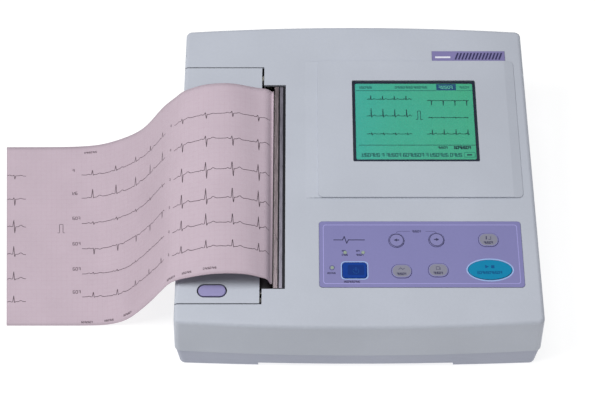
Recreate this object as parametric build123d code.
from build123d import *
import math
import os

# Electrocardiograph recorder, millimetres. Row frame: +X right, +Y to the back, +Z up, origin on the
# table under the middle of the case. The deck (top surface) slopes up to the back. Everything that
# belongs to the deck or the paper mechanism is drawn in the deck frame (x, v, w): v runs up the slope,
# w stands off the deck surface. deck() moves such a solid to the row frame.

# ---- case ----------------------------------------------------------------------------------------
deck_slope = 4.914
deck_height = 84.35
case_half_width = 168.9
case_draw_in_at_deck = 2.6
case_draw_in_at_table = 3.4
case_half_depth = 161.0
back_lean = 0.034
case_bow = 5.5
case_step_out_at_table = 1.0
table_bow = 3.4
corner_radius = 6.0
deck_edge_radius = 3.8
wall = 2.8
seam_height = 22.0
seam_gap = 0.5
seam_inset = 0.6
lip_thickness = 1.4
lip_gap = 0.45
lip_height = 4.0
underside_height = 4.6
plinth_inner_left = -92.0
plinth_inner_right = 89.0
floor_thickness = 3.0
pad_radius = 7.0
pad_proud = 1.0
pad_depth = 2.2
pad_gap = 0.1
pad_inset = (45.0, 22.0)

post_radius = 4.6
post_gap = 0.3
screw_radius = 1.5
screw_head_radius = 3.0
screw_head_height = 1.8
screw_length = 16.0
screw_gap = 0.05
screw_seat = 7.0

# ---- raised display surround and display -----------------------------------------------------------
surround_left, surround_right = -36.0, 147.0
surround_left_toe, surround_right_toe = -48.0, 156.0
surround_front, surround_back = -32.0, 121.9
surround_rise = 2.0
surround_left_step = 0.9
surround_right_step = 0.5
surround_radius = 5.0
display_centre = (57.4, 52.8)
display_opening = (120.0, 92.0)
display_radius = 1.5
window_gap = 0.3
window_thickness = 1.0
window_sunk = 0.3
mask_thickness = 0.3
mask_width = 2.6
lcd_glass_thickness = 2.4
lcd_frame_size = (144.0, 104.6)
lcd_frame_depth = 8.0
lcd_frame_wall = 1.0
lcd_stack_gap = 0.1

# ---- control panel -----------------------------------------------------------------------------------
panel_left, panel_right = -35.5, 151.0
panel_front, panel_back = -125.2, -57.2
panel_radius = 3.0
panel_thickness = 1.3
panel_proud = 0.4
panel_gap = 0.25
key_gap = 0.35
key_travel = 0.6
key_proud = 1.1
key_stem_radius = 2.0
key_flange_thickness = 1.0
key_flange_width = 1.2
key_board_depth = 13.0
key_board_thickness = 1.6
tact_switch_size = 6.0
tact_switch_height = 3.5
tact_button_radius = 1.6
KEYS = {
    "power_key": ("rounded", (-3.4, -108.1), (22.3, 15.9)),
    "start_stop_key": ("ellipse", (120.2, -107.6), (40.0, 20.0)),
    "lead_back_key": ("round", (35.7, -77.3), (14.2, 14.2)),
    "lead_forward_key": ("round", (72.6, -76.7), (14.2, 14.2)),
    "mode_key": ("oval", (120.4, -76.7), (18.0, 13.6)),
    "feed_key": ("oval", (39.5, -109.0), (18.0, 13.6)),
    "copy_key": ("oval", (72.9, -108.0), (18.0, 13.6)),
}
led_radius = 1.6
LED_PLACES = ((-23.8, -105.3), (-11.8, -89.7), (4.7, -89.7))
badge_left, badge_right = 77.0, 148.5
badge_front, badge_back = 122.4, 134.2
badge_thickness = 1.2
badge_recess = 0.6

# ---- paper drawer ------------------------------------------------------------------------------------
drawer_front, drawer_back = -141.1, 114.5
drawer_right = -90.0
drawer_gap = 1.0
drawer_right_gap = 2.0
drawer_sill = 27.0
notch_right = -66.9
notch_front, notch_back = -126.6, 94.6

paper_width = 210.0
paper_middle = -17.66
paper_clearance = 2.0
paper_thickness = 0.3
page_length = 140.0
pack_height = 9.4
tray_wall = 2.2
tray_floor_top = -42.0
tray_floor_thickness = 2.0
tray_left = -163.0
tray_right = -12.0
tray_right_top = -30.5
pack_gap = 0.4

platen_x = -87.05
platen_w = -13.0
platen_radius = 8.0
platen_shaft_radius = 3.0
platen_overhang = 1.0
bush_radius = 4.6
bush_flange_radius = 5.8
bush_flange = 1.0
running_gap = 0.05

# Side view (x, z) of the free strip along its front and back edges, from the slot to the torn end. The
# points are drawn over a case of this half width, whose slot is this high at the front and back edge.
web_top = -3.5
strip_steps = 40
strip_drawn_half_width = 168.9
strip_drawn_slot = (70.356, 88.344)
FRONT_CURVE = (
    (-79.3, 75.4), (-81.6, 80.8), (-87.6, 86.6), (-98.2, 91.4), (-113.0, 93.8), (-134.3, 92.6),
    (-152.3, 87.3), (-168.9, 79.0), (-178.5, 66.0), (-190.0, 46.5), (-204.5, 25.1), (-219.0, 9.4),
    (-236.0, 2.2), (-254.0, 0.6), (-280.0, 0.4), (-306.0, 0.4), (-330.6, 0.4),
)
BACK_CURVE = (
    (-79.2, 91.0), (-82.4, 93.6), (-90.7, 96.8), (-106.7, 101.2), (-119.4, 104.3), (-133.9, 104.3),
    (-148.0, 101.4), (-159.0, 96.4), (-166.6, 91.6), (-173.0, 84.6), (-185.0, 70.6), (-199.4, 48.0),
    (-213.0, 29.6), (-236.9, 13.0), (-254.0, 5.6), (-274.0, 1.9), (-300.0, 0.6), (-326.0, 0.4),
    (-352.0, 0.4),
)

gear_module = 0.8
platen_teeth = 20
idler_teeth = 24
pinion_teeth = 12
gear_width = 5.0
gear_start = 103.0
idler_angle = -6.0
pinion_angle = -50.0
mesh_gap = 0.1
idler_pin_radius = 2.0
motor_shaft_radius = 1.5

# ---- recorder chassis, print head, tear bar ---------------------------------------------------------
chassis_front, chassis_back = -137.5, 118.5
chassis_sheet = 1.5
chassis_left, chassis_right = -160.0, -6.0
chassis_top = -8.0
chassis_bottom = -50.0
rail_sheet = 1.4
runner_low, runner_high = -38.0, -34.0
runner_reach = 4.0
runner_left = -66.0
rail_gap = 0.4

ridge_width = 3.9
groove_width = 1.3
cap_width = 3.0
bar_left = -77.7
bar_front, bar_back = -126.2, 91.8
bar_base_low = -3.4
ridge_top = 0.9
cap_top = 0.6
tear_tooth_pitch = 2.0
tear_tooth_depth = 0.6

head_face_gap = 0.3
ceramic_thickness = 1.2
heatsink_right = -70.2
heatsink_low, heatsink_high = -26.0, -5.8
fin_pitch = 3.6
head_pivot = (-66.6, -23.4)
head_pivot_radius = 1.5
head_spring_v = (-90.0, paper_middle, 54.0)
head_spring_w = -13.0
bracket_plate_left, bracket_plate_right = -60.0, -58.5

motor_radius = 17.5
motor_length = 22.0
motor_ear = 1.2
LUGS = ((-130.0, -147.0), (-30.0, -147.0), (-130.0, 128.5), (-28.0, 128.5))
lug_size = 12.0
boss_radius = 4.0

# ---- release button and latch -----------------------------------------------------------------------
button_centre = (-133.0, -128.5)
button_size = (25.0, 11.2)
button_opening = (27.4, 13.6)
button_proud = 0.5
spring_shelf_x = (-146.6, -139.8)
spring_shelf_w = -13.6
spring_v = -130.2
latch_x, latch_w = -112.0, -16.0
latch_pin_radius = 1.5
latch_arm = (-139.0, -84.0)
latch_arm_w = (-18.5, -13.6)
latch_v = (-135.2, -129.2)
latch_tooth_x = (-88.0, -84.0)
latch_tooth_low = -24.0
strike_x = (-93.0, -89.6)

# ---- electronics and supply --------------------------------------------------------------------------
board_thickness = 1.6
main_board_x = (10.0, case_half_width - 18.9)
main_board_y = (-66.0, 60.0)
main_board_height = 22.0
power_board_x = (14.0, 120.0)
power_board_y = (72.0, 142.0)
power_board_height = 15.0
standoff_radius = 3.0
battery_x = (4.0, 84.0)
battery_y = (-141.0, -76.0)
battery_z = (8.2, 36.0)
battery_gap = 1.0
battery_wall = 1.8
door_margin = 2.5
door_thickness = 1.8
door_gap = 0.2
door_ear_half = 5.0
door_boss_radius = 3.4
door_screw_place = (44.0, -68.0)
speaker_place = (124.0, -108.0)
speaker_radius = 18.0
speaker_height = 8.5
panel_cut_gap = 0.3
connector_recess = 5.6
display_cable_drop = 12.85
key_cable_drop = 23.85
printer_cable_drop = 20.35
inlet_mouth = (23.6, 15.6)
rocker_width = 13.0
rocker_half = 4.4
rocker_pin_radius = 1.2
rocker_tilt = 8.0


# ---- small tools -------------------------------------------------------------------------------------
def deck(solid):
    return Location((0, 0, deck_height), (deck_slope, 0, 0)) * solid


def block(x, y, z):
    centre = [(low + high) / 2 for low, high in (x, y, z)]
    return Pos(*centre) * Box(x[1] - x[0], y[1] - y[0], z[1] - z[0])


def around(middle, width):
    return (middle - width / 2, middle + width / 2)


def rod_x(y, z, radius, x):
    return Pos((x[0] + x[1]) / 2, y, z) * Rot(0, 90, 0) * Cylinder(radius, x[1] - x[0])


def rod_y(x, z, radius, y):
    return Pos(x, (y[0] + y[1]) / 2, z) * Rot(90, 0, 0) * Cylinder(radius, y[1] - y[0])


def rod_z(x, y, radius, z):
    return Pos(x, y, (z[0] + z[1]) / 2) * Cylinder(radius, z[1] - z[0])


def prism_y(points, y):
    outline = Plane(origin=(0, y[1], 0), x_dir=(1, 0, 0), z_dir=(0, -1, 0)) * Polygon(*points, align=None)
    return extrude(outline, amount=y[1] - y[0], dir=(0, -1, 0))


def prism_z(face, z):
    return extrude(Pos(0, 0, z[0]) * face, amount=z[1] - z[0], dir=(0, 0, 1))


def save(node, *solids):
    shape = solids[0] if len(solids) == 1 else Compound(children=list(solids))
    export_step(shape, f"parts/{node}.step")


def key_outline(kind, size, grow=0.0):
    width, depth = size[0] + 2 * grow, size[1] + 2 * grow
    if kind == "ellipse":
        return Ellipse(width / 2, depth / 2)
    if kind == "round":
        return Circle(width / 2)
    if kind == "oval":
        return RectangleRounded(width, depth, depth / 2 - 0.5)
    return RectangleRounded(width, depth, 3.0 + grow)


# ---- outer case ---------------------------------------------------------------------------------------
def case_plan(half_width, half_depth, bow, height, inset=0.0):
    w, d, b = half_width - inset, half_depth - inset, bow
    edges = [
        Line((w, -d), (w, d)),
        ThreePointArc((w, d), (0, d + b), (-w, d)),
        Line((-w, d), (-w, -d)),
        ThreePointArc((-w, -d), (0, -d - b), (w, -d)),
    ]
    face = make_face(edges)
    return Pos(0, 0, height) * fillet(face.vertices(), max(corner_radius - inset, 1.0))


def above_deck(offset=0.0):
    return deck(block((-400, 400), (-400, 400), (offset, 200)))


def upper_body(inset, top_offset, from_height):
    reach = deck_height - seam_height
    lean = case_draw_in_at_deck / reach
    roof = deck_height + 24.0
    low = case_plan(case_half_width - lean * (from_height - seam_height), case_half_depth, case_bow,
                    from_height, inset)
    rise = roof - seam_height
    high = case_plan(case_half_width - lean * rise, case_half_depth - back_lean * rise, case_bow + 0.4,
                     roof, inset)
    return loft([low, high], ruled=True) - above_deck(-top_offset)


def deck_edges(body):
    normal = Vector(0, -math.sin(math.radians(deck_slope)), math.cos(math.radians(deck_slope)))
    flats = [f for f in body.faces() if f.geom_type == GeomType.PLANE and f.normal_at().dot(normal) > 0.999]
    return max(flats, key=lambda f: f.area).edges()


def rear_face(x, z):
    return case_half_depth + case_bow * (1 - (x / case_half_width) ** 2) - back_lean * (z - seam_height)


def right_face(z):
    lean = case_draw_in_at_deck / (deck_height - seam_height)
    return case_half_width - lean * (z - seam_height)


def outer_upper():
    body = upper_body(0.0, 0.0, seam_height)
    return fillet(deck_edges(body), deck_edge_radius)


def surround():
    """Raised field round the display: a rounded plateau, a low ramp up to it and a longer one down."""
    span = (surround_front, surround_back)
    outline = [
        (surround_left, -0.5),
        (surround_left, surround_rise),
        (surround_right, surround_rise),
        (surround_right_toe, surround_right_step),
        (surround_right_toe, -0.5),
    ]
    width, depth = surround_right_toe - surround_left, surround_back - surround_front
    corners = RectangleRounded(width, depth, surround_radius)
    corners = Pos(surround_left + width / 2, surround_front + depth / 2) * corners
    plateau = prism_y(outline, span) & prism_z(corners, (-1.0, surround_rise + 1.0))
    ramp = [
        (surround_left_toe, -0.5),
        (surround_left_toe, 0.0),
        (surround_left, surround_left_step),
        (surround_left + surround_radius, surround_left_step),
        (surround_left + surround_radius, -0.5),
    ]
    return deck(plateau + prism_y(ramp, span))


OUTER = outer_upper()
INNER = upper_body(wall, wall, seam_height - 1.0)
SHELL = OUTER - INNER


def drawer_zone(grow):
    """Space of the drawer front and lid; grow widens it to the opening in the case."""
    right = drawer_right + (drawer_right_gap if grow else 0.0)
    zone = deck(block((-400, right), (drawer_front - grow, drawer_back + grow), (-200, 50)))
    return zone - block((-400, 400), (-400, 400), (-200, drawer_sill - grow))


def post_places():
    x = case_half_width - 19.0
    y = case_half_depth - 11.0
    return [(-x, -y), (x, -y), (-x, y), (x, y), (0.0, -y - 1.0), (0.0, y + 1.0)]


def upper_posts():
    posts = []
    for x, y in post_places():
        post = rod_z(x, y, post_radius, (seam_height - 6.0, deck_height + 30.0))
        posts.append(post - above_deck(-wall + 0.2))
    return posts


def panel_holes(grow):
    return [deck(Pos(place[0], place[1], -8) * prism_z(key_outline(kind, size, grow), (0, 20)))
            for kind, place, size in KEYS.values()]


def panel_face(grow):
    face = RectangleRounded(panel_right - panel_left + 2 * grow, panel_back - panel_front + 2 * grow,
                            panel_radius + grow)
    return Pos((panel_left + panel_right) / 2, (panel_front + panel_back) / 2) * face


def upper_case():
    body = SHELL + surround()
    for post in upper_posts():
        body += post
    body -= drawer_zone(drawer_gap)
    body -= deck(block((drawer_right, notch_right), (notch_front, notch_back), (-wall - 1, 5)))
    opening = Pos(*display_centre, -10) * prism_z(RectangleRounded(*display_opening, display_radius), (0, 20))
    body -= deck(opening)
    pocket = panel_proud - panel_thickness
    body -= deck(prism_z(panel_face(panel_gap), (pocket, 5)))
    for hole in panel_holes(key_gap):
        body -= hole
    for x, v in LED_PLACES:
        body -= deck(rod_z(x, v, led_radius + 0.1, (-10, 10)))
    body -= deck(block((badge_left - 0.2, badge_right + 0.2), (badge_front - 0.2, badge_back + 0.2),
                       (-badge_recess, 5)))
    for x, y in post_places():
        body -= rod_z(x, y, screw_radius + screw_gap, (0, screw_seat + screw_length + 1.0))
    for cut in wall_cutouts():
        body -= cut
    return body


def wall_cutouts():
    return [grow_box(box, panel_cut_gap) for box in CONNECTOR_BOXES.values()]


def grow_box(box, grow):
    x, y, z = box
    return block((x[0] - grow, x[1] + grow), (y[0] - grow, y[1] + grow), (z[0] - grow, z[1] + grow))


through_back = (case_half_depth - 11.0, case_half_depth + 14.0)
through_side = (case_half_width - 10.9, case_half_width + 6.1)
CONNECTOR_BOXES = {
    "mains": ((30.0, 58.0), through_back, (32.0, 52.0)),
    "switch": ((64.0, 83.0), through_back, (35.5, 48.5)),
    "patient": (through_side, (-62.0, -23.0), (26.5, 39.0)),
    "usb": (through_side, (40.0, 55.0), (27.0, 34.0)),
    "earth": ((92.0, 104.0), through_back, (36.0, 48.0)),
}


# ---- lower case ---------------------------------------------------------------------------------------
def lower_shape(inset, z):
    """Lower case body between two heights, its sides drawn in towards the table."""
    top = seam_height - seam_gap
    share = [(height - pad_proud) / (top - pad_proud) for height in z]
    plans = []
    for part_way, height in zip(share, z):
        width = case_half_width - case_draw_in_at_table + part_way * (case_draw_in_at_table - seam_inset)
        depth = case_half_depth + case_step_out_at_table - part_way * (case_step_out_at_table + seam_inset)
        bow = table_bow + part_way * (case_bow - table_bow)
        plans.append(case_plan(width, depth, bow, height, inset))
    return loft(plans, ruled=True)


def foot_spots():
    x = case_half_width - case_draw_in_at_table - pad_inset[0]
    y = case_half_depth + case_step_out_at_table - pad_inset[1]
    return [(-x, -y), (x, -y), (-x, y), (x, y)]


def standoff_spots(x, y, inset=5.0):
    return [(a, b) for a in (x[0] + inset, x[1] - inset) for b in (y[0] + inset, y[1] - inset)]


def battery_bay(grow):
    return ((battery_x[0] - grow, battery_x[1] + grow), (battery_y[0] - grow, battery_y[1] + grow))


def lower_case():
    seam = seam_height - seam_gap
    floor_top = underside_height + floor_thickness
    body = lower_shape(0.0, (pad_proud, seam))
    body -= lower_shape(wall, (floor_top, seam + 0.5))
    plinth_pocket = lower_shape(wall + 2.0, (pad_proud + floor_thickness, floor_top + 0.5))
    plinth_gap = (plinth_inner_left - floor_thickness, plinth_inner_right + floor_thickness)
    middle = block(plinth_gap, (-200, 200), (0, 60))
    body -= plinth_pocket - middle
    ledge, lip = [case_plan(case_half_width, case_half_depth, case_bow, 0, inset)
                  - case_plan(case_half_width, case_half_depth, case_bow, 0, wall + lip_gap + lip_thickness)
                  for inset in (wall - 1.0, wall + lip_gap)]
    body += prism_z(ledge, (seam - 5.0, seam))
    body += prism_z(lip, (seam - 1.0, seam + lip_height))
    post_top = seam_height - 6.0 - post_gap
    for x, y in post_places():
        body += rod_z(x, y, post_radius, (pad_proud + 0.5, post_top))
        body -= rod_z(x, y, screw_radius + screw_gap, (0, 40))
        body -= rod_z(x, y, screw_head_radius + screw_gap * 4, (0, screw_seat))
    for spots, top in ((standoff_spots(main_board_x, main_board_y), main_board_height),
                       (standoff_spots(power_board_x, power_board_y), power_board_height)):
        for x, y in spots:
            body += rod_z(x, y, standoff_radius, (pad_proud + 1.0, top))
    inner_x, inner_y = battery_bay(battery_gap)
    outer_x, outer_y = battery_bay(battery_gap + battery_wall)
    body += block(outer_x, outer_y, (floor_top - 1.0, battery_z[1] - 6.0))
    body -= block(inner_x, inner_y, (0, 100))
    body -= door_plate(0.0, underside_height + door_thickness + door_gap)
    x, y = door_screw_place
    boss_low = underside_height + door_thickness + door_gap
    body += rod_z(x, y, door_boss_radius, (boss_low, underside_height + screw_length - 2))
    body -= rod_z(x, y, screw_radius + screw_gap, (0, 40))
    body -= block((plinth_inner_left, plinth_inner_right), (-200, 200), (0, underside_height))
    for x, y in foot_spots():
        body -= rod_z(x, y, pad_radius + pad_gap, (0, pad_proud + pad_depth + pad_gap))
    for i in range(7):
        x = speaker_place[0] + (i - 3) * 4.5
        body -= block(around(x, 2.2), around(speaker_place[1], 22.0), (0, 10))
    for i in range(8):
        x = power_board_x[0] + 14.0 + i * 8.0
        if x + 2.0 < plinth_inner_right:
            body -= block(around(x, 3.0), around(sum(power_board_y) / 2, 34.0), (0, 10))
    return body


def door_plate(shrink, top, low=-1.0):
    x, y = battery_bay(battery_gap + door_margin - shrink)
    plate = block(x, y, (low, top))
    ear_x = around(door_screw_place[0], 2 * (door_ear_half - shrink))
    return plate + block(ear_x, (y[0] + 1.0, door_screw_place[1] + door_ear_half - shrink), (low, top))


def battery_door():
    door = door_plate(door_gap, underside_height + door_thickness, underside_height)
    x, y = door_screw_place
    return door - rod_z(x, y, screw_radius + screw_gap, (0, 20))


def case_screws():
    screws = []
    for x, y in post_places():
        head = rod_z(x, y, screw_head_radius, (screw_seat - screw_head_height, screw_seat))
        screws.append(head + rod_z(x, y, screw_radius, (screw_seat - 0.5, screw_seat + screw_length)))
    x, y = door_screw_place
    head = rod_z(x, y, screw_head_radius, (underside_height - screw_head_height, underside_height))
    screws.append(head + rod_z(x, y, screw_radius, (underside_height - 0.5, underside_height + screw_length)))
    return screws


def rubber_feet():
    return [rod_z(x, y, pad_radius, (0, pad_proud + pad_depth)) for x, y in foot_spots()]


# ---- display -------------------------------------------------------------------------------------------
def display_plate(grow, w):
    face = RectangleRounded(display_opening[0] + 2 * grow, display_opening[1] + 2 * grow, display_radius)
    return Pos(*display_centre) * prism_z(face, w)


window_top = surround_rise - window_sunk
window_low = window_top - window_thickness
mask_low = window_low - mask_thickness
glass_top = mask_low - lcd_stack_gap
glass_low = glass_top - lcd_glass_thickness
frame_top = -wall - 0.3
frame_low = frame_top - lcd_frame_depth


def display_window():
    return deck(display_plate(-window_gap, (window_low, window_top)))


def display_mask():
    ring = display_plate(-window_gap, (mask_low, window_low - 0.02))
    return deck(ring - display_plate(-window_gap - mask_width, (mask_low - 1, window_top)))


def lcd_glass():
    return deck(display_plate(-window_gap - 0.2, (glass_low, glass_top)))


def lcd_frame():
    outer = Pos(*display_centre) * prism_z(Rectangle(*lcd_frame_size), (frame_low, frame_top))
    inside = [size - 2 * lcd_frame_wall for size in lcd_frame_size]
    outer -= Pos(*display_centre) * prism_z(Rectangle(*inside), (frame_low - 1, frame_top - 1.5))
    outer -= display_plate(-3.0, (frame_low - 1, 5))
    glass_seat = display_plate(-window_gap, (min(glass_low - 0.05, frame_top), 5))
    return deck(outer - glass_seat)


def lcd_brackets():
    """Four posts under the deck that the display frame hangs from."""
    x, v = display_centre
    half = lcd_frame_size[0] / 2 + 2.6
    return [deck(block(around(x + side * half, 4.0), around(v + end * 38.0, 8.0), (frame_low, -wall + 0.2)))
            for side in (-1, 1) for end in (-1, 1)]


# ---- control panel and keys ----------------------------------------------------------------------------
def panel_overlay():
    body = deck(prism_z(panel_face(0.0), (panel_proud - panel_thickness, panel_proud)))
    for hole in panel_holes(key_gap):
        body -= hole
    for x, v in LED_PLACES:
        body -= deck(rod_z(x, v, led_radius + 0.1, (-10, 10)))
    return body


def key_cap(kind, place, size):
    flange_top = -wall - 0.2
    flange_low = flange_top - key_flange_thickness
    stem_low = -key_board_depth + tact_switch_height + 1.0 + key_travel + 0.1
    cap = prism_z(key_outline(kind, size), (flange_low, key_proud))
    cap = chamfer(cap.faces().sort_by(Axis.Z)[-1].edges(), 0.35)
    cap += prism_z(key_outline(kind, size, key_flange_width), (flange_low, flange_top))
    cap += rod_z(0, 0, key_stem_radius, (stem_low, flange_low + 0.5))
    return deck(Pos(*place) * cap)


def key_board():
    x = (panel_left + 2.0, panel_right - 2.0)
    v = (panel_front + 1.0, panel_back - 1.0)
    return deck(block(x, v, (-key_board_depth - key_board_thickness, -key_board_depth)))


def key_posts():
    spots = [(x, v) for x in (panel_left + 6.0, panel_right - 6.0)
             for v in (panel_front + 5.0, panel_back - 5.0)]
    return [deck(rod_z(x, v, 3.0, (-key_board_depth, -wall + 0.2))) for x, v in spots]


def tact_switches():
    switches = []
    for kind, place, size in KEYS.values():
        top = -key_board_depth + tact_switch_height
        body = block(around(place[0], tact_switch_size), around(place[1], tact_switch_size),
                     (-key_board_depth, top))
        switches.append(deck(body + rod_z(*place, tact_button_radius, (top - 0.5, top + 1.0))))
    return switches


def status_leds():
    return [deck(rod_z(x, v, led_radius, (-key_board_depth, panel_proud + 0.2))) for x, v in LED_PLACES]


def badge_plate():
    return deck(block((badge_left, badge_right), (badge_front, badge_back),
                      (-badge_recess, badge_thickness - badge_recess)))


# ---- paper drawer --------------------------------------------------------------------------------------
paper_v = around(paper_middle, paper_width)
tray_inner = (paper_v[0] - paper_clearance, paper_v[1] + paper_clearance)
tray_outer = (tray_inner[0] - tray_wall, tray_inner[1] + tray_wall)
tray_low = tray_floor_top - tray_floor_thickness


def stadium(size, grow=0.0):
    return SlotOverall(size[0] + 2 * grow, size[1] + 2 * grow)


def drawer_lid():
    body = SHELL & drawer_zone(0.0)
    return body - deck(Pos(*button_centre, -20) * prism_z(stadium(button_opening), (0, 40)))


def drawer_tray():
    side = [
        (tray_left, tray_low),
        (tray_right, tray_low),
        (tray_right, tray_right_top),
        (platen_x + 13.0, tray_right_top),
        (platen_x + 5.8, platen_w - 9.0),
        (platen_x + 5.8, platen_w + 5.5),
        (platen_x - 4.0, platen_w + 5.5),
        (drawer_right - 2.0, -wall - 0.1),
        (tray_left, -wall - 0.1),
    ]
    body = prism_y(side, (tray_outer[0], tray_inner[0]))
    body += prism_y(side, (tray_inner[1], tray_outer[1]))
    body += block((tray_left, tray_right), tray_outer, (tray_low, tray_floor_top))
    body += block((tray_right - tray_wall, tray_right), tray_outer, (tray_low, tray_right_top))
    body += block((tray_left, tray_left + tray_wall), tray_outer, (tray_low, -12.0))
    runner_x = (runner_left, tray_right - 2.0)
    body += block(runner_x, (tray_outer[0] - runner_reach, tray_outer[0] + 0.5), (runner_low, runner_high))
    body += block(runner_x, (tray_outer[1] - 0.5, tray_outer[1] + runner_reach), (runner_low, runner_high))
    notch_x = around(button_centre[0], button_opening[0] + 4.0)
    body -= block(notch_x, (tray_outer[0] - 1, tray_inner[0] + 1), (-13.2, 5))
    body += block(spring_shelf_x, (spring_v - 4.5, tray_inner[0]), (spring_shelf_w - 1.6, spring_shelf_w))
    body -= rod_y(platen_x, platen_w, bush_radius, (tray_outer[0] - 1, tray_outer[1] + 1))
    body -= rod_y(latch_x, latch_w, latch_pin_radius, (tray_outer[0] - 1, tray_inner[0] + 1))
    return deck(body)


def paper_pack():
    left = tray_left + tray_wall + pack_gap
    low = tray_floor_top + pack_gap
    return deck(block((left, left + page_length), paper_v, (low, low + pack_height)))


def platen_roller():
    span = (paper_v[0] - platen_overhang, paper_v[1] + platen_overhang)
    tube = rod_y(platen_x, platen_w, platen_radius, span)
    return deck(tube - rod_y(platen_x, platen_w, platen_shaft_radius, (-200, 200)))


def platen_shaft():
    span = (tray_outer[0] - 1.4, gear_start + gear_width + 0.6)
    return deck(rod_y(platen_x, platen_w, platen_shaft_radius, span))


def platen_bushes():
    bushes = []
    for wall_v, out in ((tray_outer[0], -1), (tray_outer[1], 1)):
        inner = wall_v - out * tray_wall
        flange = sorted((wall_v, wall_v + out * bush_flange))
        sleeve = rod_y(platen_x, platen_w, bush_radius, sorted((inner, wall_v)))
        sleeve += rod_y(platen_x, platen_w, bush_flange_radius, flange)
        bore = rod_y(platen_x, platen_w, platen_shaft_radius + running_gap, (-200, 200))
        bushes.append(deck(sleeve - bore))
    return bushes


# ---- gear train ----------------------------------------------------------------------------------------
def gear(teeth, bore, turn):
    """Spur gear in the plane of x and w, its teeth straight-flanked and slightly thinned for backlash."""
    pitch = gear_module * teeth / 2
    root, tip = pitch - 1.25 * gear_module, pitch + gear_module
    step = 360 / teeth
    points = []
    for i in range(teeth):
        flank = ((0.36, root), (0.235, pitch), (0.105, tip))
        for share, radius in [(-a, r) for a, r in flank] + list(flank[::-1]):
            angle = math.radians(turn + (i + share) * step)
            points.append((radius * math.cos(angle), radius * math.sin(angle)))
    solid = prism_y(points, (gear_start, gear_start + gear_width))
    return solid - rod_y(0, 0, bore, (gear_start - 1, gear_start + gear_width + 1))


def mesh_place(origin, teeth_a, teeth_b, angle):
    reach = gear_module * (teeth_a + teeth_b) / 2 + mesh_gap
    turn = math.radians(angle)
    return (origin[0] + reach * math.cos(turn), origin[1] + reach * math.sin(turn))


idler_place = mesh_place((platen_x, platen_w), platen_teeth, idler_teeth, idler_angle)
pinion_place = mesh_place(idler_place, idler_teeth, pinion_teeth, pinion_angle)
idler_turn = idler_angle + 180 + 180 / idler_teeth


def phase_against(turn, teeth, angle, other_teeth):
    """Turn of the second gear so that its gap faces the first gear's tooth at the given angle."""
    off = ((angle - turn) / (360 / teeth)) % 1.0
    return angle + 180 + (off + 0.5) * 360 / other_teeth


def platen_gear():
    return deck(Pos(platen_x, 0, platen_w) * gear(platen_teeth, platen_shaft_radius, idler_angle))


def idler_gear():
    body = gear(idler_teeth, idler_pin_radius + running_gap, idler_turn)
    return deck(Pos(idler_place[0], 0, idler_place[1]) * body)


def motor_pinion():
    turn = phase_against(idler_turn, idler_teeth, pinion_angle, pinion_teeth)
    body = Pos(pinion_place[0], 0, pinion_place[1]) * gear(pinion_teeth, motor_shaft_radius - 0.2, turn)
    return deck(body + rod_y(*pinion_place, motor_shaft_radius, (gear_start - 0.5, chassis_back + 8.0)))


def idler_pin():
    pin = rod_y(*idler_place, idler_pin_radius, (gear_start - 1.6, chassis_back))
    return deck(pin + rod_y(*idler_place, idler_pin_radius + 1.2, (gear_start - 1.6, gear_start - 0.4)))


def stepper_motor():
    x, w = pinion_place
    body = rod_y(x, w, motor_radius, (chassis_back, chassis_back + motor_length))
    for side in (-1, 1):
        ear = (chassis_back, chassis_back + motor_ear)
        body += block(around(x + side * (motor_radius + 2.0), 9.0), ear, around(w, 8.0))
        hole_x = x + side * (motor_radius + 3.0)
        body -= rod_y(hole_x, w, screw_radius + screw_gap, (chassis_back - 1, chassis_back + 3))
    return deck(body - rod_y(x, w, motor_shaft_radius + running_gap, (chassis_back - 1, chassis_back + 9.0)))


# ---- recorder chassis ----------------------------------------------------------------------------------
chassis_v = (chassis_front, chassis_back)
front_plate = (chassis_front, chassis_front + chassis_sheet)
back_plate = (chassis_back - chassis_sheet, chassis_back)


def recorder_chassis():
    body = block((chassis_left, chassis_right), front_plate, (chassis_bottom, chassis_top))
    body += block((chassis_left, chassis_right), back_plate, (chassis_bottom, chassis_top))
    body += block((chassis_right - chassis_sheet, chassis_right), chassis_v, (chassis_bottom, -26.5))
    body += block(around(-40.0, 16.0), chassis_v, (chassis_bottom, chassis_bottom + chassis_sheet))
    for x, v in LUGS:
        span = (v - lug_size / 2, chassis_front + 0.5) if v < 0 else (chassis_back - 0.5, v + lug_size / 2)
        body += block(around(x, lug_size), span, (chassis_top - chassis_sheet, chassis_top))
        body -= rod_z(x, v, screw_radius + screw_gap, (-20, 0))
    x, w = pinion_place
    body -= rod_y(x, w, 4.0, (chassis_back - 3, chassis_back + 1))
    for side in (-1, 1):
        place = x + side * (motor_radius + 3.0)
        body -= rod_y(place, w, screw_radius + screw_gap, (chassis_back - 3, chassis_back + 1))
    body -= rod_y(*idler_place, idler_pin_radius, (chassis_back - 3, chassis_back + 1))
    strike_w = (latch_tooth_low - 6.0, latch_tooth_low - 0.3)
    body += block(strike_x, (front_plate[1] - 0.5, latch_v[1]), strike_w)
    return deck(body)


def lug_bosses():
    return [deck(rod_z(x, v, boss_radius, (chassis_top, -wall + 0.2))) for x, v in LUGS]


def chassis_screws():
    screws = []
    under = chassis_top - chassis_sheet
    for x, v in LUGS:
        head = rod_z(x, v, screw_head_radius, (under - 1.8, under))
        screws.append(deck(head + rod_z(x, v, screw_radius, (under - 0.5, -wall - 0.6))))
    x, w = pinion_place
    for side in (-1, 1):
        place = x + side * (motor_radius + 3.0)
        seat = chassis_back + motor_ear
        head = rod_y(place, w, screw_head_radius, (seat, seat + 1.8))
        screws.append(deck(head + rod_y(place, w, screw_radius, (chassis_back - 3.5, seat + 0.5))))
    return screws


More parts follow.
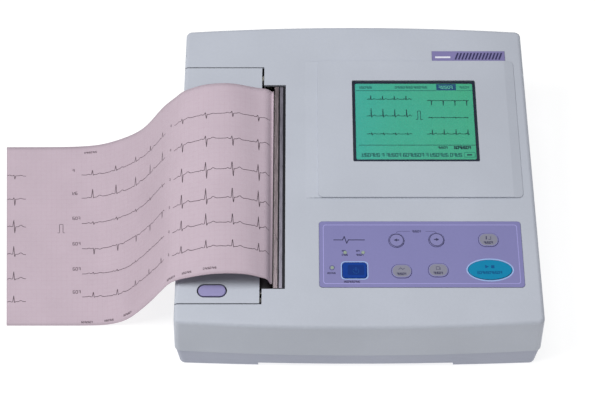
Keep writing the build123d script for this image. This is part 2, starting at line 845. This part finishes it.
def slide_rails():
    rails = []
    for plate_v, tray_v in ((front_plate[1], tray_outer[0] - 0.6), (back_plate[0], tray_outer[1] + 0.6)):
        out = -1 if plate_v < tray_v else 1
        web = sorted((plate_v, plate_v - out * rail_sheet))
        arm = sorted((plate_v, tray_v))
        x = (tray_left - 1.0, chassis_right - 4.0)
        low, high = runner_low - rail_gap, runner_high + rail_gap
        rail = block(x, web, (low - rail_sheet, high + rail_sheet))
        rail += block(x, arm, (low - rail_sheet, low))
        rail += block(x, arm, (high, high + rail_sheet))
        rails.append(deck(rail))
    return rails


# ---- print head ----------------------------------------------------------------------------------------
head_v = (paper_v[0] - 1.0, paper_v[1] + 1.0)
paper_plane = platen_x + platen_radius + head_face_gap + paper_thickness / 2
ceramic_left = paper_plane + paper_thickness / 2 + head_face_gap
tab_v = ((head_v[0] - 3.2, head_v[0] - 1.7), (head_v[1] + 1.7, head_v[1] + 3.2))


def thermal_head():
    x = (ceramic_left, ceramic_left + ceramic_thickness)
    return deck(block(x, (paper_v[0], paper_v[1]), (platen_w - 7.0, heatsink_high - 0.4)))


def head_heatsink():
    left = ceramic_left + ceramic_thickness
    body = block((left, heatsink_right), head_v, (heatsink_low, heatsink_high))
    body += block((left, head_pivot[0] + 3.0), head_v, (heatsink_low, head_pivot[1] + 2.6))
    count = int((heatsink_high - head_pivot[1] - 4.0) / fin_pitch)
    for i in range(count):
        w = head_pivot[1] + 4.6 + i * fin_pitch
        body -= block((heatsink_right - 3.4, heatsink_right + 1), (head_v[0] - 1, head_v[1] + 1),
                      (w, w + fin_pitch / 2))
    for end in (head_v[0], head_v[1]):
        body -= rod_y(*head_pivot, head_pivot_radius + running_gap, (end - 5.0, end + 5.0))
    return deck(body)


def head_pivot_pins():
    pins = []
    for end, tab in ((head_v[0], tab_v[0]), (head_v[1], tab_v[1])):
        inward = 1 if end < paper_middle else -1
        reach = sorted((end + inward * 4.6, tab[0] if inward > 0 else tab[1]))
        pins.append(deck(rod_y(*head_pivot, head_pivot_radius, reach)))
    return pins


def head_bracket():
    low = -28.0
    span = (bar_front - 3.0, bar_back + 3.5)
    body = block((bracket_plate_left, bracket_plate_right), span, (low, bar_base_low))
    body += block((bar_left + 0.2, bracket_plate_right), span, (bar_base_low - 1.2, bar_base_low))
    for tab in tab_v:
        body += block((head_pivot[0] - 3.0, bracket_plate_right), tab, (low, head_pivot[1] + 4.0))
        body -= rod_y(*head_pivot, head_pivot_radius, (tab[0] - 1, tab[1] + 1))
    for v in (-100.0, 66.0):
        foot_x = (bracket_plate_left, chassis_right - chassis_sheet)
        body += block(foot_x, around(v, 20.0), (low, low + chassis_sheet))
    return deck(body)


def coil_spring(radius, wire, height, turns):
    path = Helix(pitch=height / turns, height=height, radius=radius)
    section = Plane(origin=path @ 0, z_dir=path % 0) * Circle(wire)
    return sweep(section, path=path)


def head_springs():
    length = bracket_plate_left - heatsink_right - 2.2
    coil = Rot(0, 90, 0) * coil_spring(2.6, 0.35, length - 0.9, 5)
    return [deck(Pos(heatsink_right + 0.5, v, head_spring_w) * coil) for v in head_spring_v]


# ---- tear bar ------------------------------------------------------------------------------------------
def tear_bar():
    right = bar_left + ridge_width
    count = int((bar_back - bar_front) / tear_tooth_pitch)
    points = [(right, bar_back), (right, bar_front)]
    for i in range(count):
        v = bar_front + i * tear_tooth_pitch
        points += [(bar_left + tear_tooth_depth, v), (bar_left, v + tear_tooth_pitch / 2)]
    points.append((bar_left + tear_tooth_depth, bar_back))
    teeth = extrude(Pos(0, 0, ridge_top - 0.8) * Polygon(*points, align=None), amount=0.8, dir=(0, 0, 1))
    foot = block((bar_left + 1.0, right), (bar_front, bar_back), (bar_base_low, ridge_top - 0.6))
    return deck(teeth + foot)


def bar_cap():
    left = bar_left + ridge_width + groove_width
    return deck(block((left, left + cap_width), (bar_front, bar_back), (bar_base_low, cap_top)))


# ---- release button and latch --------------------------------------------------------------------------
flange_top = -wall - 0.3
flange_low = flange_top - 1.3


def release_button():
    x, v = button_centre
    cap = prism_z(stadium(button_size), (flange_low, button_proud))
    cap = fillet(cap.faces().sort_by(Axis.Z)[-1].edges(), 0.8)
    cap += prism_z(stadium(button_opening, 1.0), (flange_low, flange_top))
    body = Pos(x, v) * cap
    stem_v = (latch_v[0] + latch_v[1]) / 2 + 0.4
    return deck(body + rod_z(x, stem_v, 2.0, (latch_arm_w[1] + 0.2, flange_low + 0.5)))


def button_spring():
    x = sum(spring_shelf_x) / 2
    height = flange_low - spring_shelf_w
    return deck(Pos(x, spring_v, spring_shelf_w + 0.35) * coil_spring(2.2, 0.3, height - 0.7, 6))


def latch_lever():
    body = block(latch_arm, latch_v, latch_arm_w)
    body += block(latch_tooth_x, latch_v, (latch_tooth_low, latch_arm_w[1]))
    body += rod_y(latch_x, latch_w, latch_pin_radius + 2.4, latch_v)
    return deck(body - rod_y(latch_x, latch_w, latch_pin_radius + running_gap, (-200, 200)))


def latch_pin():
    return deck(rod_y(latch_x, latch_w, latch_pin_radius, (latch_v[0] - 0.3, tray_inner[0])))


# ---- paper strip ---------------------------------------------------------------------------------------
def web_points(grow):
    """Path of the paper inside the drawer: off the pack, under the platen and up to the slot."""
    wrap = platen_radius + head_face_gap + paper_thickness / 2 + grow
    start = (tray_left + tray_wall + 3.0, tray_floor_top + pack_gap + pack_height + 0.6 - grow)
    reach = math.dist(start, (platen_x, platen_w))
    bearing = math.atan2(start[1] - platen_w, start[0] - platen_x)
    touch = bearing + math.acos(wrap / reach)
    steps = 8
    arc = [touch + (2 * math.pi - touch) * i / steps if touch > 0 else touch * (1 - i / steps)
           for i in range(steps + 1)]
    path = [start] + [(platen_x + wrap * math.cos(a), platen_w + wrap * math.sin(a)) for a in arc]
    return path + [(platen_x + wrap, web_top)]


def paper_web():
    half = paper_thickness / 2
    return deck(prism_y(web_points(half) + web_points(-half)[::-1], paper_v))


def offset_curve(points, start, shift):
    moved = []
    chain = [start] + list(points)
    for i in range(1, len(chain)):
        before, after = chain[i - 1], chain[min(i + 1, len(chain) - 1)]
        along = math.dist(before, after)
        normal = (-(after[1] - before[1]) / along, (after[0] - before[0]) / along)
        moved.append((chain[i][0] + normal[0] * shift, chain[i][1] + normal[1] * shift))
    return moved


def strip_over_case(points, drawn_slot, slot):
    """The strip's points over the case as it is: raised with the slot and moved out with the wall."""
    wider = case_half_width - strip_drawn_half_width
    start = points[0][0]
    moved = []
    for x, z in points:
        way_out = min((start - x) / (start + strip_drawn_half_width), 1.0)
        moved.append((x - wider * way_out, z * slot / drawn_slot))
    return moved


def strip_face(drawn, drawn_slot, v):
    half = paper_thickness / 2
    slope = math.radians(deck_slope)
    y = v * math.cos(slope) - web_top * math.sin(slope)
    z = deck_height + v * math.sin(slope) + web_top * math.cos(slope)
    points = strip_over_case(drawn, drawn_slot, z)
    sides = []
    for shift in (half, -half):
        path = [(paper_plane - shift, z)] + offset_curve(points, (paper_plane, z), shift)
        curve = Spline(*[(a, y, b) for a, b in path])
        sides.append([curve @ (i / strip_steps) for i in range(strip_steps + 1)])
    return make_face(Polyline(*sides[0], *sides[1][::-1], close=True))


def paper_strip():
    edges = zip((FRONT_CURVE, BACK_CURVE), strip_drawn_slot, paper_v)
    loose = loft([strip_face(drawn, slot, v) for drawn, slot, v in edges], ruled=True)
    return loose + paper_web()


# ---- electronics ---------------------------------------------------------------------------------------
def circuit_board(x, y, height, parts):
    board = block(x, y, (height, height + board_thickness))
    for px, py, size_x, size_y, tall in parts:
        top = height + board_thickness
        board += block(around(px, size_x), around(py, size_y), (top - 0.1, top + tall))
    return board


def main_board():
    chips = [(60, -10, 24, 24, 2.5), (100, -12, 18, 14, 2.5), (40, 30, 20, 12, 3.0), (95, 30, 28, 22, 8.0),
             (125, 12, 14, 10, 3.0), (30, -45, 12, 30, 6.0), (80, -48, 30, 8, 6.0)]
    return circuit_board(main_board_x, main_board_y, main_board_height, chips)


def power_board():
    parts = [(100, 128, 14, 10, 12.0), (70, 134, 20, 8, 10.0), (108, 104, 6, 26, 22.0)]
    board = circuit_board(power_board_x, power_board_y, power_board_height, parts)
    top = power_board_height + board_thickness
    return board + rod_z(86.0, 98.0, 11.0, (top - 0.1, top + 28.0))


def transformer():
    base = power_board_height + board_thickness
    core = block((24.0, 68.0), (80.0, 118.0), (base, base + 32.0))
    core -= block((32.0, 60.0), (79.0, 119.0), (base + 6.0, base + 26.0))
    return core + block((32.5, 59.5), (83.0, 115.0), (base + 5.0, base + 27.0))


def battery_pack():
    return block(battery_x, battery_y, battery_z)


def speaker():
    x, y = speaker_place
    low = pad_proud + floor_thickness + 0.1
    body = rod_z(x, y, speaker_radius, (low, low + 3.0))
    return body + rod_z(x, y, speaker_radius * 0.55, (low + 2.9, low + speaker_height))


def mains_inlet():
    x, _, z = CONNECTOR_BOXES["mains"]
    middle_x, middle_z = sum(x) / 2, sum(z) / 2
    face = rear_face(middle_x, middle_z) + 1.0
    body = block(x, (face - 24.0, face), z)
    mouth = block(around(middle_x, inlet_mouth[0]), (face - 17.0, face + 1), around(middle_z, inlet_mouth[1]))
    return body - mouth


def inlet_pins():
    x, _, z = CONNECTOR_BOXES["mains"]
    middle_x, middle_z = sum(x) / 2, sum(z) / 2
    face = rear_face(middle_x, middle_z) + 1.0
    places = ((-7.0, -2.0), (7.0, -2.0), (0.0, 2.0))
    return [block(around(middle_x + dx, 2.0), (face - 17.0, face - 5.5), around(middle_z + dz, 4.0))
            for dx, dz in places]


def switch_pivot():
    x, _, z = CONNECTOR_BOXES["switch"]
    return (sum(x) / 2, rear_face(sum(x) / 2, sum(z) / 2) - 3.5, sum(z) / 2)


def switch_body():
    x, _, z = CONNECTOR_BOXES["switch"]
    middle, pivot_y, height = switch_pivot()
    face = pivot_y + 4.3
    body = block(x, (face - 15.0, face), z)
    room = around(height, 2 * rocker_half + 1.6)
    body -= block(around(middle, rocker_width + 0.8), (face - 9.0, face + 1), room)
    pin = rod_x(pivot_y, height, rocker_pin_radius, around(middle, rocker_width + 2.0))
    return body + pin


def switch_rocker():
    middle, pivot_y, height = switch_pivot()
    outline = Polygon((-3.6, -1.5), (-3.6, 1.5), (2.0, rocker_half), (4.6, rocker_half), (3.7, 0),
                      (4.6, -rocker_half), (2.0, -rocker_half), align=None)
    solid = extrude(Plane.YZ * outline, amount=rocker_width / 2, both=True)
    solid -= rod_x(0, 0, rocker_pin_radius + running_gap, (-20, 20))
    return Pos(middle, pivot_y, height) * Rot(rocker_tilt, 0, 0) * solid


def d_connector(box, rows, boss):
    _, y, z = box
    middle_y, middle_z = sum(y) / 2, sum(z) / 2
    face = right_face(z[1]) - connector_recess
    body = block((face - 12.0, face), y, z)
    outline = RectangleRounded(boss, 8.2, 2.6)
    body += Pos(face, middle_y, middle_z) * extrude(Plane.YZ * outline, amount=connector_recess - 0.6)
    for row, count in enumerate(rows):
        for i in range(count):
            place = middle_y + (i - (count - 1) / 2) * 2.76
            body -= rod_x(place, middle_z + 1.42 - 2.84 * row, 0.55, (face - 6.0, face + 6.0))
    for side in (-1, 1):
        body -= rod_x(middle_y + side * (boss / 2 + 4.0), middle_z, 1.3, (face - 8.0, face + 1.0))
    return body


def usb_socket():
    _, y, z = CONNECTOR_BOXES["usb"]
    face = right_face(z[1]) - 0.2
    shell = block((face - 18.0, face), y, z)
    shell -= block((face - 15.0, face + 1), around(sum(y) / 2, 12.4), around(sum(z) / 2, 4.9))
    return shell + block((face - 15.5, face - 1.0), around(sum(y) / 2, 11.4), around(sum(z) / 2 + 1.0, 1.4))


def earth_terminal():
    x, _, z = CONNECTOR_BOXES["earth"]
    middle, height = sum(x) / 2, sum(z) / 2
    face = rear_face(middle, height)
    stud = rod_y(middle, height, 5.8, (face - 6.0, face + 1.0))
    return stud + rod_y(middle, height, 3.0, (face - 9.0, face + 9.0))


def flat_cables():
    board = main_board_height + board_thickness
    x = display_centre[0]
    display = block((x - 10, x + 10), (46.0, 46.6), (board + 0.3, deck_height - display_cable_drop))
    keys = block((128.0, 144.0), (-60.6, -60.0), (board + 13.5, deck_height - key_cable_drop))
    printer = block((12.0, 12.6), (-20.0, 20.0), (board + 0.3, deck_height - printer_cable_drop))
    return [display, keys, printer]


# ---- write one file per sub-part -----------------------------------------------------------------------
def case_with_fixings():
    body = upper_case()
    for post in lcd_brackets() + key_posts() + lug_bosses():
        body += post
    for x, v in LUGS:
        body -= deck(rod_z(x, v, screw_radius + screw_gap, (chassis_top - 1, -wall - 0.2)))
    return body


os.makedirs("parts", exist_ok=True)
save("upper_case", case_with_fixings())
save("lower_case", lower_case())
save("rubber_feet", *rubber_feet())
save("case_screws", *case_screws())
save("battery_door", battery_door())
save("battery_pack", battery_pack())
save("display_window", display_window())
save("display_mask", display_mask())
save("lcd_glass", lcd_glass())
save("lcd_frame", lcd_frame())
save("panel_overlay", panel_overlay())
for node, (kind, place, size) in KEYS.items():
    save(node, key_cap(kind, place, size))
save("key_board", key_board())
save("tact_switches", *tact_switches())
save("status_leds", *status_leds())
save("badge_plate", badge_plate())
save("drawer_lid", drawer_lid())
save("drawer_tray", drawer_tray())
save("paper_pack", paper_pack())
save("paper_strip", paper_strip())
save("platen_roller", platen_roller())
save("platen_shaft", platen_shaft())
save("platen_bushes", *platen_bushes())
save("platen_gear", platen_gear())
save("idler_gear", idler_gear())
save("idler_pin", idler_pin())
save("motor_pinion", motor_pinion())
save("stepper_motor", stepper_motor())
save("recorder_chassis", recorder_chassis())
save("chassis_screws", *chassis_screws())
save("slide_rails", *slide_rails())
save("thermal_head", thermal_head())
save("head_heatsink", head_heatsink())
save("head_pivot_pins", *head_pivot_pins())
save("head_bracket", head_bracket())
save("head_springs", *head_springs())
save("tear_bar", tear_bar())
save("bar_cap", bar_cap())
save("release_button", release_button())
save("button_spring", button_spring())
save("latch_lever", latch_lever())
save("latch_pin", latch_pin())
save("main_board", main_board())
save("power_board", power_board())
save("transformer", transformer())
save("speaker", speaker())
save("mains_inlet", mains_inlet())
save("inlet_pins", *inlet_pins())
save("switch_body", switch_body())
save("switch_rocker", switch_rocker())
save("patient_connector", d_connector(CONNECTOR_BOXES["patient"], (8, 7), 26.0))
save("usb_socket", usb_socket())
save("earth_terminal", earth_terminal())
save("flat_cables", *flat_cables())
